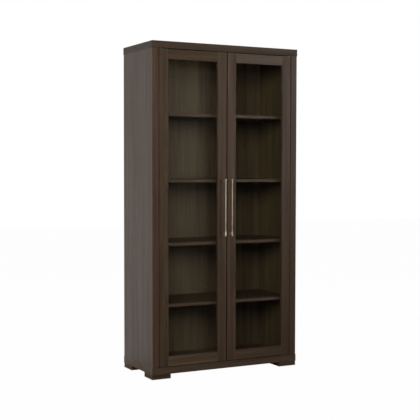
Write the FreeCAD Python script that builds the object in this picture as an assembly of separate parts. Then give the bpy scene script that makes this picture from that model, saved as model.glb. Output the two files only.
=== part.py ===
"""Tall bookcase with two hinged, glazed doors.

Millimetres, +X to the right, +Y to the back, +Z up. The origin is on the floor, under the middle
of the whole object. The left half is modelled, and what comes in pairs is mirrored at X = 0.
"""
import FreeCAD, Part
import os

# ---------------------------------------------------------------- driving dimensions
HEIGHT = 2000.0              # floor to the top face
CASE_WIDTH = 996.0           # over the two side panels
CASE_DEPTH = 436.0           # front plane to the back of the side panels
OVERHANG = 2.0               # top and base board stand out past the sides and the front
TOP_THICKNESS = 42.0
BASE_THICKNESS = 42.0
BOARD_EASE = 1.2             # small chamfer along the boards' outer edges

SIDE_THICKNESS = 22.0
POST_WIDTH = 42.0            # face of the front post, seen beside each door
POST_DEPTH = 30.0
POST_LIP = 8.0               # the post's lip that covers the side panel's front edge
POST_EASE = 1.2

BACK_THICKNESS = 8.0
BACK_LAP = 10.0              # how far the back panel reaches into the rebates around it
BACK_PLAY = 0.3              # play at the back panel's edges

SHELF_THICKNESS = 19.0
SHELF_SETBACK = 38.0         # front plane to the shelf's front edge
SHELF_PLAY = 1.0             # at each end and at the back
SHELF_EASE = 1.0
CLEAR_HEIGHTS = (352.0, 348.0, 361.0, 376.0)   # the compartments under shelf 4, 3, 2 and 1

PIN_DIAMETER = 5.0
PIN_HOLE_DEPTH = 11.0
PIN_REACH = 9.0              # pin outside the side panel, under the shelf
PIN_FLAT = 0.6               # milled off the top of the pin, where the shelf rests
PIN_INSET = 50.0             # from the shelf's front and back edge to its pins
PIN_PITCH = 32.0             # spacing of the adjustment holes
PIN_SPARE_HOLES = 1          # adjustment holes above and below each pin

FOOT_WIDTH = 120.0
FOOT_DEPTH = 120.0
FOOT_HEIGHT = 25.0
FOOT_EASE = 1.0
GLIDE_DIAMETER = 44.0
GLIDE_THICKNESS = 2.0
FOOT_SCREW_INSET = 28.0      # from the foot's sides to its two screws, on a diagonal
FOOT_SCREW_SINK = 9.0
FOOT_SCREW_MOUTH_DIAMETER = 10.5   # counterbore that sinks the screw's head
FOOT_SCREW_GRIP = 24.0       # screw inside the base board

DOOR_THICKNESS = 22.0
DOOR_GAP = 3.0               # from each door to the case
MEETING_GAP = 5.0            # between the two doors
FRAME_WIDTH = 60.0           # stiles and rails
FRAME_LIP = 10.0             # wood in front of the glass
REBATE_WIDTH = 8.0
FRAME_EASE = 1.2
TENON_THICKNESS = 7.0
TENON_LENGTH = 22.0          # past the rail's back shoulder
TENON_HAUNCH = 12.0          # from the end of the stile to the tenon
TENON_EDGE = 4.0             # from the rebate to the tenon
MORTISE_SPARE = 1.0          # mortise deeper than the tenon
GLASS_THICKNESS = 4.0
GLASS_PLAY = 1.0             # around the pane, inside its rebate
BEAD_CHAMFER = 3.0

PIVOT_INSET = 14.0           # door's outer edge to the pivot axis
PIVOT_SETBACK = 7.0          # door's front face to the pivot axis
PIVOT_PIN_DIAMETER = 6.0
PIVOT_PIN_GRIP = 12.0        # pin inside the door
PIVOT_PLAY = 0.05            # radial, pin in bush
PIVOT_PLATE_LENGTH = 60.0
PIVOT_PLATE_WIDTH = 12.0
PIVOT_PLATE_THICKNESS = 2.0
PIVOT_PLATE_END = 8.0        # plate outside the pin
PIVOT_SCREW_PLACES = (22.0, 44.0)   # from the pin along the plate
BUSH_DIAMETER = 9.0
BUSH_LENGTH = 14.0
WASHER_DIAMETER = 12.0
WASHER_CLEARANCE = 0.3       # washer to the door that turns on it

HANDLE_LENGTH = 350.0
HANDLE_PITCH = 320.0         # between the two posts
HANDLE_STANDOFF = 27.0       # door face to the bar's axis
HANDLE_INSET = 20.0          # door's meeting edge to the bar's axis
BAR_DIAMETER = 8.0
SLEEVE_DIAMETER = 10.0
SLEEVE_LENGTH = 30.0
HANDLE_POST_DIAMETER = 7.0
HANDLE_SCREW_GRIP = 12.0     # screw inside the post
HANDLE_EASE = 0.8

CATCH_LENGTH = 64.0
CATCH_DEPTH = 14.0
CATCH_HEIGHT = 12.0
CATCH_EAR = 12.0             # each end of the catch, thin, with one screw
CATCH_EAR_THICKNESS = 2.5
CATCH_CLEARANCE = 0.3        # strike plate to magnet when the door is shut
MAGNET_LENGTH = 14.0
MAGNET_HEIGHT = 7.0
MAGNET_THICKNESS = 5.0
MAGNET_INSET = 4.0           # from the middle of the catch to each magnet
MAGNET_DROP = 3.5            # from the top board to the magnet
STRIKE_LENGTH = 16.0
STRIKE_HEIGHT = 6.5
STRIKE_THICKNESS = 1.2
STRIKE_STUD_DIAMETER = 4.0
STRIKE_STUD_LENGTH = 8.0

DOWEL_DIAMETER = 8.0
DOWEL_LENGTH = 40.0
DOWEL_HOLE_SPARE = 1.0       # hole deeper than the dowel, at each end
SIDE_DOWELS = 3              # along each end of a side panel
DOWEL_EDGE = 60.0            # from the side panel's ends to its first and last dowel

BACK_SCREW_EDGE = 80.0       # from the back panel's corners to the first screw
BACK_SIDE_SCREWS = 4         # along each side of the back panel
BACK_END_SCREWS = 3          # along its top and its bottom

FIT = 0.05                   # radial play of dowels, pins and screws in their holes
PEG_FLATS = 8                # flats that stand for the round wall of a shelf pin, bush or stud
SCREW_FLATS = 6              # and of a screw or a dowel

# ---------------------------------------------------------------- screw sizes
# shank diameter, length under the head, head diameter, head height
FOOT_SCREW = (5.0, FOOT_HEIGHT - FOOT_SCREW_SINK + FOOT_SCREW_GRIP, 9.5, 3.0)
PLATE_SCREW = (3.0, 16.0, 5.6, 1.4)
HANDLE_SCREW = (4.0, DOOR_THICKNESS + HANDLE_SCREW_GRIP, 8.0, 2.5)
CATCH_SCREW = (3.0, 14.0, 5.6, 1.8)
BACK_SCREW = (3.0, 22.0, 6.0, 2.0)

# ---------------------------------------------------------------- places that follow from them
X = FreeCAD.Vector(1, 0, 0)
Y = FreeCAD.Vector(0, 1, 0)
Z = FreeCAD.Vector(0, 0, 1)

side_out = -CASE_WIDTH / 2                       # left side panel's outer face
side_in = side_out + SIDE_THICKNESS
post_in = side_out + POST_WIDTH

handle_reach = HANDLE_STANDOFF + SLEEVE_DIAMETER / 2
back = (CASE_DEPTH + handle_reach) / 2           # back plane
front = back - CASE_DEPTH                        # front plane of posts, doors and feet
back_face = back - BACK_THICKNESS                # inner face of the back panel

foot_top = GLIDE_THICKNESS + FOOT_HEIGHT
base_top = foot_top + BASE_THICKNESS
top_under = HEIGHT - TOP_THICKNESS

shelf_front = front + SHELF_SETBACK
shelf_back = back_face - SHELF_PLAY

door_out = post_in + DOOR_GAP                    # left door's outer edge
door_in = -MEETING_GAP / 2                       # left door's meeting edge
door_low = base_top + DOOR_GAP
door_high = top_under - DOOR_GAP
door_back = front + DOOR_THICKNESS
lip_back = front + FRAME_LIP                     # the plane that the glass rests on
glass_back = lip_back + GLASS_THICKNESS
tenon_back = lip_back + TENON_THICKNESS

pivot_x = door_out + PIVOT_INSET
pivot_y = front + PIVOT_SETBACK
handle_x = door_in - HANDLE_INSET
handle_y = front - HANDLE_STANDOFF
handle_z = (door_low + door_high) / 2


def shelf_undersides():
    """Heights of the four shelves' undersides, from the lowest shelf up."""
    level = base_top
    undersides = []
    for clear in CLEAR_HEIGHTS:
        level += clear
        undersides.append(level)
        level += SHELF_THICKNESS
    return undersides


# ---------------------------------------------------------------- helpers
def vec(x, y, z):
    return FreeCAD.Vector(x, y, z)


def block(x, y, z):
    """A box from three (low, high) pairs."""
    size = [high - low for low, high in (x, y, z)]
    return Part.makeBox(size[0], size[1], size[2], vec(x[0], y[0], z[0]))


def rod(diameter, start, direction, length):
    return Part.makeCylinder(diameter / 2, length, start, direction)


def peg(diameter, start, direction, length, flats=PEG_FLATS):
    """A slim round piece or its hole, with a few flats in place of the round wall."""
    across = direction.cross(X if abs(direction.x) < 0.5 else Z) * (diameter / 2)
    turns = [FreeCAD.Rotation(direction, 360.0 * index / flats) for index in range(flats)]
    corners = [start + turn.multVec(across) for turn in turns]
    return Part.Face(Part.makePolygon(corners + corners[:1])).extrude(direction * length)


def mirrored(shape):
    return shape.mirror(vec(0, 0, 0), X)


def both_sides(shapes):
    return shapes + [mirrored(shape) for shape in shapes]


def cut_all(shape, tools):
    return shape.cut(Part.makeCompound(tools)) if tools else shape


def spread(low, high, count):
    """Evenly spaced places from low to high, both included."""
    step = (high - low) / (count - 1)
    return [low + step * index for index in range(count)]


def eased(shape, width, wanted):
    """Chamfer the straight edges for which wanted(middle, direction) is true."""
    edges = []
    for edge in shape.Edges:
        ends = [vertex.Point for vertex in edge.Vertexes]
        if len(ends) == 2 and edge.Curve.TypeId == "Part::GeomLine":
            along = (ends[1] - ends[0]).normalize()
            if wanted((ends[0] + ends[1]) * 0.5, along):
                edges.append(edge)
    return shape.makeChamfer(width, edges)


def near(value, other):
    return abs(value - other) < 0.01


def screw(size, seat, direction):
    """Flat-headed screw: seat is the point under its head, direction the way it is driven."""
    shank, length, head, head_height = size
    cap = peg(head, seat - direction * head_height, direction, head_height, SCREW_FLATS)
    return peg(shank, seat, direction, length, SCREW_FLATS).fuse(cap)


def screw_hole(size, seat, direction):
    """The hole for such a screw, with its head let in."""
    shank, length, head, head_height = size
    shaft = peg(shank + 2 * FIT, seat, direction, length + FIT, SCREW_FLATS)
    recess = peg(head + 2 * FIT, seat - direction * head_height, direction, head_height, SCREW_FLATS)
    return shaft.fuse(recess)


# ---------------------------------------------------------------- dowels
def dowel_places():
    """(x, y) of the dowels that join the left side panel and post to the boards."""
    low = front + POST_DEPTH + DOWEL_EDGE / 2
    high = back_face - DOWEL_EDGE
    side_x = (side_out + side_in) / 2
    places = [(side_x, y) for y in spread(low, high, SIDE_DOWELS)]
    places.append(((side_in + post_in) / 2, front + (POST_LIP + POST_DEPTH) / 2))
    return places


def dowels(spare=0.0, play=0.0):
    """Dowels at both ends of the left side, or with spare and play, their holes."""
    length = DOWEL_LENGTH + 2 * spare
    diameter = DOWEL_DIAMETER + 2 * play
    return [peg(diameter, vec(x, y, level - length / 2), Z, length, SCREW_FLATS)
            for x, y in dowel_places() for level in (base_top, top_under)]


def dowel_holes():
    return dowels(DOWEL_HOLE_SPARE, FIT)


# ---------------------------------------------------------------- back panel and its screws
def back_edges(play=0.0):
    """Low and high (x, z) corner of the back panel, or with play, of the rebate around it."""
    low = (side_in - BACK_LAP - play, base_top - BACK_LAP - play)
    high = (-low[0], top_under + BACK_LAP + play)
    return low, high


def back_rebate():
    low, high = back_edges(BACK_PLAY)
    return block((low[0], high[0]), (back_face, back + OVERHANG), (low[1], high[1]))


def back_screw_seats():
    """Points under the heads of the screws around the back panel."""
    low, high = back_edges()
    inset = BACK_LAP / 2
    seat_y = back - BACK_SCREW[3]
    seats = []
    for z in spread(low[1] + BACK_SCREW_EDGE, high[1] - BACK_SCREW_EDGE, BACK_SIDE_SCREWS):
        seats += [vec(x, seat_y, z) for x in (low[0] + inset, high[0] - inset)]
    for x in spread(low[0] + BACK_SCREW_EDGE, high[0] - BACK_SCREW_EDGE, BACK_END_SCREWS):
        seats += [vec(x, seat_y, z) for z in (low[1] + inset, high[1] - inset)]
    return seats


def back_screw_holes():
    return [screw_hole(BACK_SCREW, seat, -Y) for seat in back_screw_seats()]


def back_screws():
    return [screw(BACK_SCREW, seat, -Y) for seat in back_screw_seats()]


def back_panel():
    low, high = back_edges()
    panel = block((low[0], high[0]), (back_face, back), (low[1], high[1]))
    return cut_all(panel, back_screw_holes())


# ---------------------------------------------------------------- feet
def foot_block(at_front):
    y = (front, front + FOOT_DEPTH) if at_front else (back - FOOT_DEPTH, back)
    return (side_out, side_out + FOOT_WIDTH), y


def foot_screw_seats(at_front):
    """Two screws on a diagonal of the foot, clear of the glide in its middle."""
    (x_low, x_high), (y_low, y_high) = foot_block(at_front)
    seat_z = GLIDE_THICKNESS + FOOT_SCREW_SINK
    inset = FOOT_SCREW_INSET
    return [vec(x_low + inset, y_low + inset, seat_z), vec(x_high - inset, y_high - inset, seat_z)]


def glide(at_front):
    (x_low, x_high), (y_low, y_high) = foot_block(at_front)
    middle = vec((x_low + x_high) / 2, (y_low + y_high) / 2, 0)
    return rod(GLIDE_DIAMETER, middle, Z, GLIDE_THICKNESS)


def foot(at_front):
    x, y = foot_block(at_front)
    body = block(x, y, (GLIDE_THICKNESS, foot_top))
    body = eased(body, FOOT_EASE, lambda middle, along: near(abs(along.z), 1))
    tools = []
    for seat in foot_screw_seats(at_front):
        mouth = vec(seat.x, seat.y, 0)
        tools.append(peg(FOOT_SCREW_MOUTH_DIAMETER, mouth, Z, seat.z, SCREW_FLATS))
        tools.append(screw_hole(FOOT_SCREW, seat, Z))
    return cut_all(body, tools)


def foot_screws():
    seats = foot_screw_seats(True) + foot_screw_seats(False)
    return [screw(FOOT_SCREW, seat, Z) for seat in seats]


def foot_screw_holes():
    seats = foot_screw_seats(True) + foot_screw_seats(False)
    return [screw_hole(FOOT_SCREW, seat, Z) for seat in seats]


# ---------------------------------------------------------------- pivot hinges
def pivot_plate_box(level, up):
    """The flush plate's place: its face is at level, and its pin points along up."""
    x = (pivot_x - PIVOT_PLATE_END, pivot_x - PIVOT_PLATE_END + PIVOT_PLATE_LENGTH)
    y = (pivot_y - PIVOT_PLATE_WIDTH / 2, pivot_y + PIVOT_PLATE_WIDTH / 2)
    z = sorted((level, level - up * PIVOT_PLATE_THICKNESS))
    return block(x, y, z)


def pivot_screw_seats(level, up):
    seat_z = level - up * PLATE_SCREW[3]
    return [vec(pivot_x + place, pivot_y, seat_z) for place in PIVOT_SCREW_PLACES]


def pivot(level, up):
    """Plate with its pin, for the left door's lower (up = 1) or upper (up = -1) end."""
    plate = pivot_plate_box(level, up)
    height = DOOR_GAP + PIVOT_PIN_GRIP
    pin = rod(PIVOT_PIN_DIAMETER, vec(pivot_x, pivot_y, level), Z * up, height)
    holes = [screw_hole(PLATE_SCREW, seat, Z * -up) for seat in pivot_screw_seats(level, up)]
    return cut_all(plate.fuse(pin), holes).removeSplitter()


def pivot_screws():
    return [screw(PLATE_SCREW, seat, Z * -up)
            for level, up in ((base_top, 1), (top_under, -1))
            for seat in pivot_screw_seats(level, up)]


def pivot_recess(level, up):
    """What the plate and its screws take out of a board."""
    holes = [screw_hole(PLATE_SCREW, seat, Z * -up) for seat in pivot_screw_seats(level, up)]
    return [pivot_plate_box(level, up)] + holes


def pivot_washer():
    """Thrust washer on the lower pin, between the plate and the door."""
    thickness = DOOR_GAP - WASHER_CLEARANCE
    centre = vec(pivot_x, pivot_y, base_top)
    ring = peg(WASHER_DIAMETER, centre, Z, thickness)
    return ring.cut(rod(PIVOT_PIN_DIAMETER + 2 * PIVOT_PLAY, centre, Z, thickness))


def bush_body(play=0.0):
    """Outer shapes of the lower and the upper bush, with flats that keep them from turning."""
    diameter = BUSH_DIAMETER + 2 * play
    return [peg(diameter, vec(pivot_x, pivot_y, door_low), Z, BUSH_LENGTH),
            peg(diameter, vec(pivot_x, pivot_y, door_high), -Z, BUSH_LENGTH)]


def pivot_bushes():
    bore = rod(PIVOT_PIN_DIAMETER + 2 * PIVOT_PLAY, vec(pivot_x, pivot_y, door_low), Z,
               door_high - door_low)
    return [body.cut(bore) for body in bush_body()]


# ---------------------------------------------------------------- magnetic catch
def catch_front():
    return door_back + STRIKE_THICKNESS + CATCH_CLEARANCE


def magnet(side):
    """One of the catch's two magnets: side is -1 for the left door, 1 for the right."""
    inner = side * MAGNET_INSET
    outer = side * (MAGNET_INSET + MAGNET_LENGTH)
    high = top_under - MAGNET_DROP
    y = (catch_front(), catch_front() + MAGNET_THICKNESS)
    return block(sorted((inner, outer)), y, (high - MAGNET_HEIGHT, high))


def catch_screw_seats():
    place = (CATCH_LENGTH - CATCH_EAR) / 2
    middle = catch_front() + CATCH_DEPTH / 2
    seat_z = top_under - CATCH_EAR_THICKNESS
    return [vec(x, middle, seat_z) for x in (-place, place)]


def catch_screws():
    return [screw(CATCH_SCREW, seat, Z) for seat in catch_screw_seats()]


def catch_screw_holes():
    return [screw_hole(CATCH_SCREW, seat, Z) for seat in catch_screw_seats()]


def catch_housing():
    y = (catch_front(), catch_front() + CATCH_DEPTH)
    half = CATCH_LENGTH / 2
    ears = block((-half, half), y, (top_under - CATCH_EAR_THICKNESS, top_under))
    core = block((-half + CATCH_EAR, half - CATCH_EAR), y, (top_under - CATCH_HEIGHT, top_under))
    return cut_all(ears.fuse(core), [magnet(-1), magnet(1)] + catch_screw_holes())


def strike_plate(play=0.0):
    """Steel strike on the left door's back face, with the stud that holds it."""
    middle_x = -(MAGNET_INSET + MAGNET_LENGTH / 2)
    middle_z = top_under - MAGNET_DROP - MAGNET_HEIGHT / 2
    plate = block((middle_x - STRIKE_LENGTH / 2, middle_x + STRIKE_LENGTH / 2),
                  (door_back, door_back + STRIKE_THICKNESS),
                  (middle_z - STRIKE_HEIGHT / 2, middle_z + STRIKE_HEIGHT / 2))
    stud = peg(STRIKE_STUD_DIAMETER + 2 * play, vec(middle_x, door_back, middle_z),
               -Y, STRIKE_STUD_LENGTH + play)
    return plate.fuse(stud).removeSplitter()


# ---------------------------------------------------------------- case
def board(low, high):
    """Top or base board: stands out past the sides and the front, flush at the back."""
    x = (side_out - OVERHANG, -side_out + OVERHANG)
    body = block(x, (front - OVERHANG, back), (low, high))

    def outer(middle, along):
        upright = near(abs(along.z), 1) and near(middle.y, front - OVERHANG)
        rim = near(abs(along.z), 0) and not near(middle.y, back)
        return upright or rim
    return eased(body, BOARD_EASE, outer)


def top_board():
    tools = both_sides(dowel_holes() + pivot_recess(top_under, -1))
    tools += [back_rebate()] + back_screw_holes() + catch_screw_holes()
    return cut_all(board(top_under, HEIGHT), tools)


def base_board():
    tools = both_sides(dowel_holes() + pivot_recess(base_top, 1) + foot_screw_holes())
    tools += [back_rebate()] + back_screw_holes()
    return cut_all(board(foot_top, base_top), tools)


def pin_rows():
    """Distances of the front and the back row of shelf pins along Y."""
    return (shelf_front + PIN_INSET, shelf_back - PIN_INSET)


def pin_hole(y, z):
    return peg(PIN_DIAMETER + 2 * FIT, vec(side_in - PIN_HOLE_DEPTH, y, z), X, PIN_HOLE_DEPTH)


def pin_axis_height(underside):
    return underside - PIN_DIAMETER / 2 + PIN_FLAT


def side_panel():
    """Left side panel: its front edge is covered by the post, its back edge rebated."""
    panel = block((side_out, side_in), (front + POST_LIP, back), (base_top, top_under))
    holes = []
    for underside in shelf_undersides():
        for step in range(-PIN_SPARE_HOLES, PIN_SPARE_HOLES + 1):
            z = pin_axis_height(underside) + step * PIN_PITCH
            holes += [pin_hole(y, z) for y in pin_rows()]
    return cut_all(panel, holes + dowel_holes() + [back_rebate()] + back_screw_holes())


def front_post():
    """Left front post: an L in plan, lapped over the side panel's front edge."""
    body = block((side_out, post_in), (front, front + POST_DEPTH), (base_top, top_under))
    seat = block((side_out, side_in), (front + POST_LIP, front + POST_DEPTH), (base_top, top_under))
    body = body.cut(seat)

    def front_edges(middle, along):
        return near(abs(along.z), 1) and near(middle.y, front)
    return cut_all(eased(body, POST_EASE, front_edges), dowel_holes())


def shelf(underside):
    half = -side_in - SHELF_PLAY
    body = block((-half, half), (shelf_front, shelf_back), (underside, underside + SHELF_THICKNESS))

    def front_edges(middle, along):
        return near(abs(along.x), 1) and near(middle.y, shelf_front)
    return eased(body, SHELF_EASE, front_edges)


def shelf_pin(y, underside):
    """Left shelf pin, with a flat where the shelf rests."""
    z = pin_axis_height(underside)
    start = side_in - PIN_HOLE_DEPTH + FIT
    pin = peg(PIN_DIAMETER, vec(start, y, z), X, side_in + PIN_REACH - start)
    above = block((side_in, side_in + PIN_REACH), (y - PIN_DIAMETER, y + PIN_DIAMETER),
                  (underside, underside + PIN_DIAMETER))
    return pin.cut(above)


def shelf_pins(underside):
    return both_sides([shelf_pin(y, underside) for y in pin_rows()])


# ---------------------------------------------------------------- left door
def tenon_heights(low):
    """(low, high) of a tenon whose rail starts at the door's lower (low) or upper end."""
    inner = FRAME_WIDTH - REBATE_WIDTH - TENON_EDGE
    if low:
        return door_low + TENON_HAUNCH, door_low + inner
    return door_high - inner, door_high - TENON_HAUNCH


def mortises(x_low, x_high):
    return [block((x_low, x_high), (lip_back, tenon_back), tenon_heights(low)) for low in (True, False)]


def handle_screw_seats():
    return [vec(handle_x, door_back, handle_z + side * HANDLE_PITCH / 2) for side in (-1, 1)]


def stile(outer, inner):
    """One stile. Its rebate is at inner, the side of the glass."""
    x = sorted((outer, inner))
    body = block(x, (front, door_back), (door_low, door_high))
    inward = 1 if inner > outer else -1
    step = inner - inward * REBATE_WIDTH
    body = body.cut(block(sorted((step, inner)), (lip_back, door_back), (door_low, door_high)))

    def front_edges(middle, along):
        return near(abs(along.z), 1) and near(middle.y, front)
    body = eased(body, FRAME_EASE, front_edges)
    return cut_all(body, mortises(*sorted((step, step - inward * (TENON_LENGTH + MORTISE_SPARE)))))


def hinge_stile():
    body = stile(door_out, door_out + FRAME_WIDTH)
    return cut_all(body, bush_body(FIT))


def meeting_stile():
    body = stile(door_in, door_in - FRAME_WIDTH)
    holes = [peg(HANDLE_SCREW[0] + 2 * FIT, seat, -Y, DOOR_THICKNESS, SCREW_FLATS)
             for seat in handle_screw_seats()]
    return cut_all(body, holes + [strike_plate(FIT)])


def rail(low):
    """Rail with a long shoulder and a tenon at each end, and a rebate for the glass."""
    shoulder = (door_out + FRAME_WIDTH, door_in - FRAME_WIDTH)
    long_shoulder = (shoulder[0] - REBATE_WIDTH, shoulder[1] + REBATE_WIDTH)
    tenon = (long_shoulder[0] - TENON_LENGTH, long_shoulder[1] + TENON_LENGTH)
    if low:
        face = (door_low, door_low + FRAME_WIDTH)
        behind = (door_low, door_low + FRAME_WIDTH - REBATE_WIDTH)
    else:
        face = (door_high - FRAME_WIDTH, door_high)
        behind = (door_high - FRAME_WIDTH + REBATE_WIDTH, door_high)

    def front_edges(middle, along):
        return near(abs(along.x), 1) and near(middle.y, front)
    lip = eased(block(shoulder, (front, lip_back), face), FRAME_EASE, front_edges)
    body = block(long_shoulder, (lip_back, door_back), behind)
    tongue = block(tenon, (lip_back, tenon_back), tenon_heights(low))
    return lip.fuse([body, tongue]).removeSplitter()


def rebate_window():
    """(low, high) pairs along X and Z of the opening that holds the glass and its beads."""
    inset = FRAME_WIDTH - REBATE_WIDTH
    return (door_out + inset, door_in - inset), (door_low + inset, door_high - inset)


def glass():
    (x_low, x_high), (z_low, z_high) = rebate_window()
    return block((x_low + GLASS_PLAY, x_high - GLASS_PLAY), (lip_back, glass_back),
                 (z_low + GLASS_PLAY, z_high - GLASS_PLAY))


def mitred_bead(corners):
    """Bead from four (x, z) corners: the outer edge's two ends, then the inner edge's two."""
    points = [vec(x, glass_back, z) for x, z in corners]
    face = Part.Face(Part.makePolygon(points + [points[0]]))
    strip = face.extrude(Y * (door_back - glass_back))
    inner_middle = (points[2] + points[3]) * 0.5
    inner_middle.y = door_back
    edge = min(strip.Edges, key=lambda item: item.CenterOfMass.distanceToPoint(inner_middle))
    return strip.makeChamfer(BEAD_CHAMFER, [edge])


def glass_beads():
    """Four mitred strips behind the pane."""
    (x_low, x_high), (z_low, z_high) = rebate_window()
    outer = [(x_low, z_low), (x_high, z_low), (x_high, z_high), (x_low, z_high)]
    width = REBATE_WIDTH
    inner = [(x_low + width, z_low + width), (x_high - width, z_low + width),
             (x_high - width, z_high - width), (x_low + width, z_high - width)]
    return [mitred_bead([outer[i], outer[(i + 1) % 4], inner[(i + 1) % 4], inner[i]]) for i in range(4)]


# ---------------------------------------------------------------- left door's pull
def handle_ends():
    """Heights of the bar's lower and upper end."""
    return handle_z - HANDLE_LENGTH / 2, handle_z + HANDLE_LENGTH / 2


def post_heights():
    return handle_z - HANDLE_PITCH / 2, handle_z + HANDLE_PITCH / 2


def handle_bar():
    low, high = handle_ends()
    bar = rod(BAR_DIAMETER, vec(handle_x, handle_y, low), Z, high - low)
    rims = [edge for edge in bar.Edges
            if near(edge.CenterOfMass.z, low) or near(edge.CenterOfMass.z, high)]
    return bar.makeChamfer(HANDLE_EASE, rims)


def handle_sleeves():
    """Thicker sleeve on each end of the bar."""
    sleeves = []
    low, high = handle_ends()
    for start in (low, high - SLEEVE_LENGTH):
        base = vec(handle_x, handle_y, start)
        bore = rod(BAR_DIAMETER + 2 * FIT, base, Z, SLEEVE_LENGTH)
        sleeves.append(rod(SLEEVE_DIAMETER, base, Z, SLEEVE_LENGTH).cut(bore))
    return sleeves


def handle_posts():
    """Posts from the door's face, saddled to the sleeves and tapped for a screw."""
    posts = []
    for height in post_heights():
        foot_point = vec(handle_x, front, height)
        post = rod(HANDLE_POST_DIAMETER, foot_point, -Y, HANDLE_STANDOFF)
        clear = rod(SLEEVE_DIAMETER + 2 * FIT, vec(handle_x, handle_y, height - HANDLE_POST_DIAMETER), Z,
                    2 * HANDLE_POST_DIAMETER)
        tapped = peg(HANDLE_SCREW[0] + 2 * FIT, foot_point, -Y, HANDLE_SCREW_GRIP + FIT, SCREW_FLATS)
        posts.append(cut_all(post, [clear, tapped]))
    return posts


def handle_screws():
    return [screw(HANDLE_SCREW, seat, -Y) for seat in handle_screw_seats()]


# ---------------------------------------------------------------- assembly
def door_pieces():
    return {
        "hinge_stile": [hinge_stile()],
        "meeting_stile": [meeting_stile()],
        "top_rail": [rail(False)],
        "bottom_rail": [rail(True)],
        "glass": [glass()],
        "glass_beads": glass_beads(),
        "pivot_bushes": pivot_bushes(),
        "strike_plate": [strike_plate()],
        "handle_bar": [handle_bar()],
        "handle_sleeves": handle_sleeves(),
        "handle_posts": handle_posts(),
        "handle_screws": handle_screws(),
    }


def pieces():
    """Node name to its list of solids."""
    nodes = {
        "top_board": [top_board()],
        "base_board": [base_board()],
        "back_panel": [back_panel()],
        "back_panel_screws": back_screws(),
        "carcass_dowels": both_sides(dowels()),
        "foot_glides": both_sides([glide(True), glide(False)]),
        "foot_screws": both_sides(foot_screws()),
        "pivot_washers": both_sides([pivot_washer()]),
        "pivot_plate_screws": both_sides(pivot_screws()),
        "catch_housing": [catch_housing()],
        "catch_magnets": [magnet(-1), magnet(1)],
        "catch_screws": catch_screws(),
    }
    for number, underside in zip((4, 3, 2, 1), shelf_undersides()):
        nodes[f"shelf_{number}"] = [shelf(underside)]
        nodes[f"shelf_pins_{number}"] = shelf_pins(underside)
    pairs = {
        "side_panel": [side_panel()],
        "front_post": [front_post()],
        "front_foot": [foot(True)],
        "back_foot": [foot(False)],
        "bottom_pivot": [pivot(base_top, 1)],
        "top_pivot": [pivot(top_under, -1)],
    }
    for name, solids in pairs.items():
        nodes[f"left_{name}"] = solids
        nodes[f"right_{name}"] = [mirrored(solid) for solid in solids]
    for name, solids in door_pieces().items():
        nodes[f"left_door_{name}"] = solids
        nodes[f"right_door_{name}"] = [mirrored(solid) for solid in solids]
    return nodes


os.makedirs("parts", exist_ok=True)
for node, solids in pieces().items():
    shape = solids[0] if len(solids) == 1 else Part.makeCompound(solids)
    shape.exportStep(f"parts/{node}.step")
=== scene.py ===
"""Looks of a tall bookcase with two glazed doors, laid out as an add-on.

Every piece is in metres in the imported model's frame, with +X to the right of the case, +Y to its
back and +Z up. Wooden boards keep the frame's own shapes and get a stained oak veneer. Pulls,
screws, pins and fittings are turned and bevelled here, and stand for theirs.
"""

import math
from functools import partial

import bmesh
import bpy
from bpy.props import FloatProperty, FloatVectorProperty, IntProperty, PointerProperty
from bpy.types import Operator, Panel, PropertyGroup
from mathutils import Matrix, Vector


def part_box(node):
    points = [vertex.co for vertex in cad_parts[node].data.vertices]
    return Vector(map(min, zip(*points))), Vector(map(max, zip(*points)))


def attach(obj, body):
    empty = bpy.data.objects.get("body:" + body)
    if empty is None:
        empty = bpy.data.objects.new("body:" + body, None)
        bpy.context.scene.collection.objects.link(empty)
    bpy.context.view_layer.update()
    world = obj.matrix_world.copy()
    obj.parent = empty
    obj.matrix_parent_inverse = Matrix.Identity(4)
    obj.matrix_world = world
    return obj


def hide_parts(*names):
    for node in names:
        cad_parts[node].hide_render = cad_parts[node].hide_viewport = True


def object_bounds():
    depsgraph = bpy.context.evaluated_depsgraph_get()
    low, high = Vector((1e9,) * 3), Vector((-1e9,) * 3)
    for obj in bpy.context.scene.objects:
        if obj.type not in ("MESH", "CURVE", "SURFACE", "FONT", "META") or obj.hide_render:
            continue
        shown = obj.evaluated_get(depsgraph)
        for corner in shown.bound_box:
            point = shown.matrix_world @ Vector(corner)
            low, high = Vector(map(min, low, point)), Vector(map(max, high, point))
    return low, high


bl_info = {
    "name": "Glazed Bookcase",
    "version": (1, 0, 0),
    "blender": (4, 5, 0),
    "location": "View3D > Sidebar > Bookcase",
    "description": "Finishes and fittings of a tall bookcase with two glazed doors",
    "category": "Object",
}

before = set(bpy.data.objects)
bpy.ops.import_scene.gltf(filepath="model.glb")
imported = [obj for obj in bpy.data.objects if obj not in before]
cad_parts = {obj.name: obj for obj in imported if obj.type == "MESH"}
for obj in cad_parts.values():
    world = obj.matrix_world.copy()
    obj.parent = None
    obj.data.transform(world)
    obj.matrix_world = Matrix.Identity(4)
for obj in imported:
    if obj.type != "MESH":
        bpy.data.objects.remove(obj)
CAD_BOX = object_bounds()

X = Vector((1.0, 0.0, 0.0))
Y = Vector((0.0, 1.0, 0.0))
Z = Vector((0.0, 0.0, 1.0))
SIDES = ("left", "right")
MM = 0.001


# ---- settings a user would change
def setting(kind, name, description, default, **more):
    return kind(name=name, description=description, default=default, **more)


colour = partial(setting, FloatVectorProperty, subtype="COLOR", min=0.0, max=1.0)
length = partial(setting, FloatProperty, unit="LENGTH", min=0.0, precision=4)
amount = partial(setting, FloatProperty, min=0.0, max=1.0)
power = partial(setting, FloatProperty, unit="POWER", min=0.0)
angle = partial(setting, FloatProperty, subtype="ANGLE")


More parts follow.
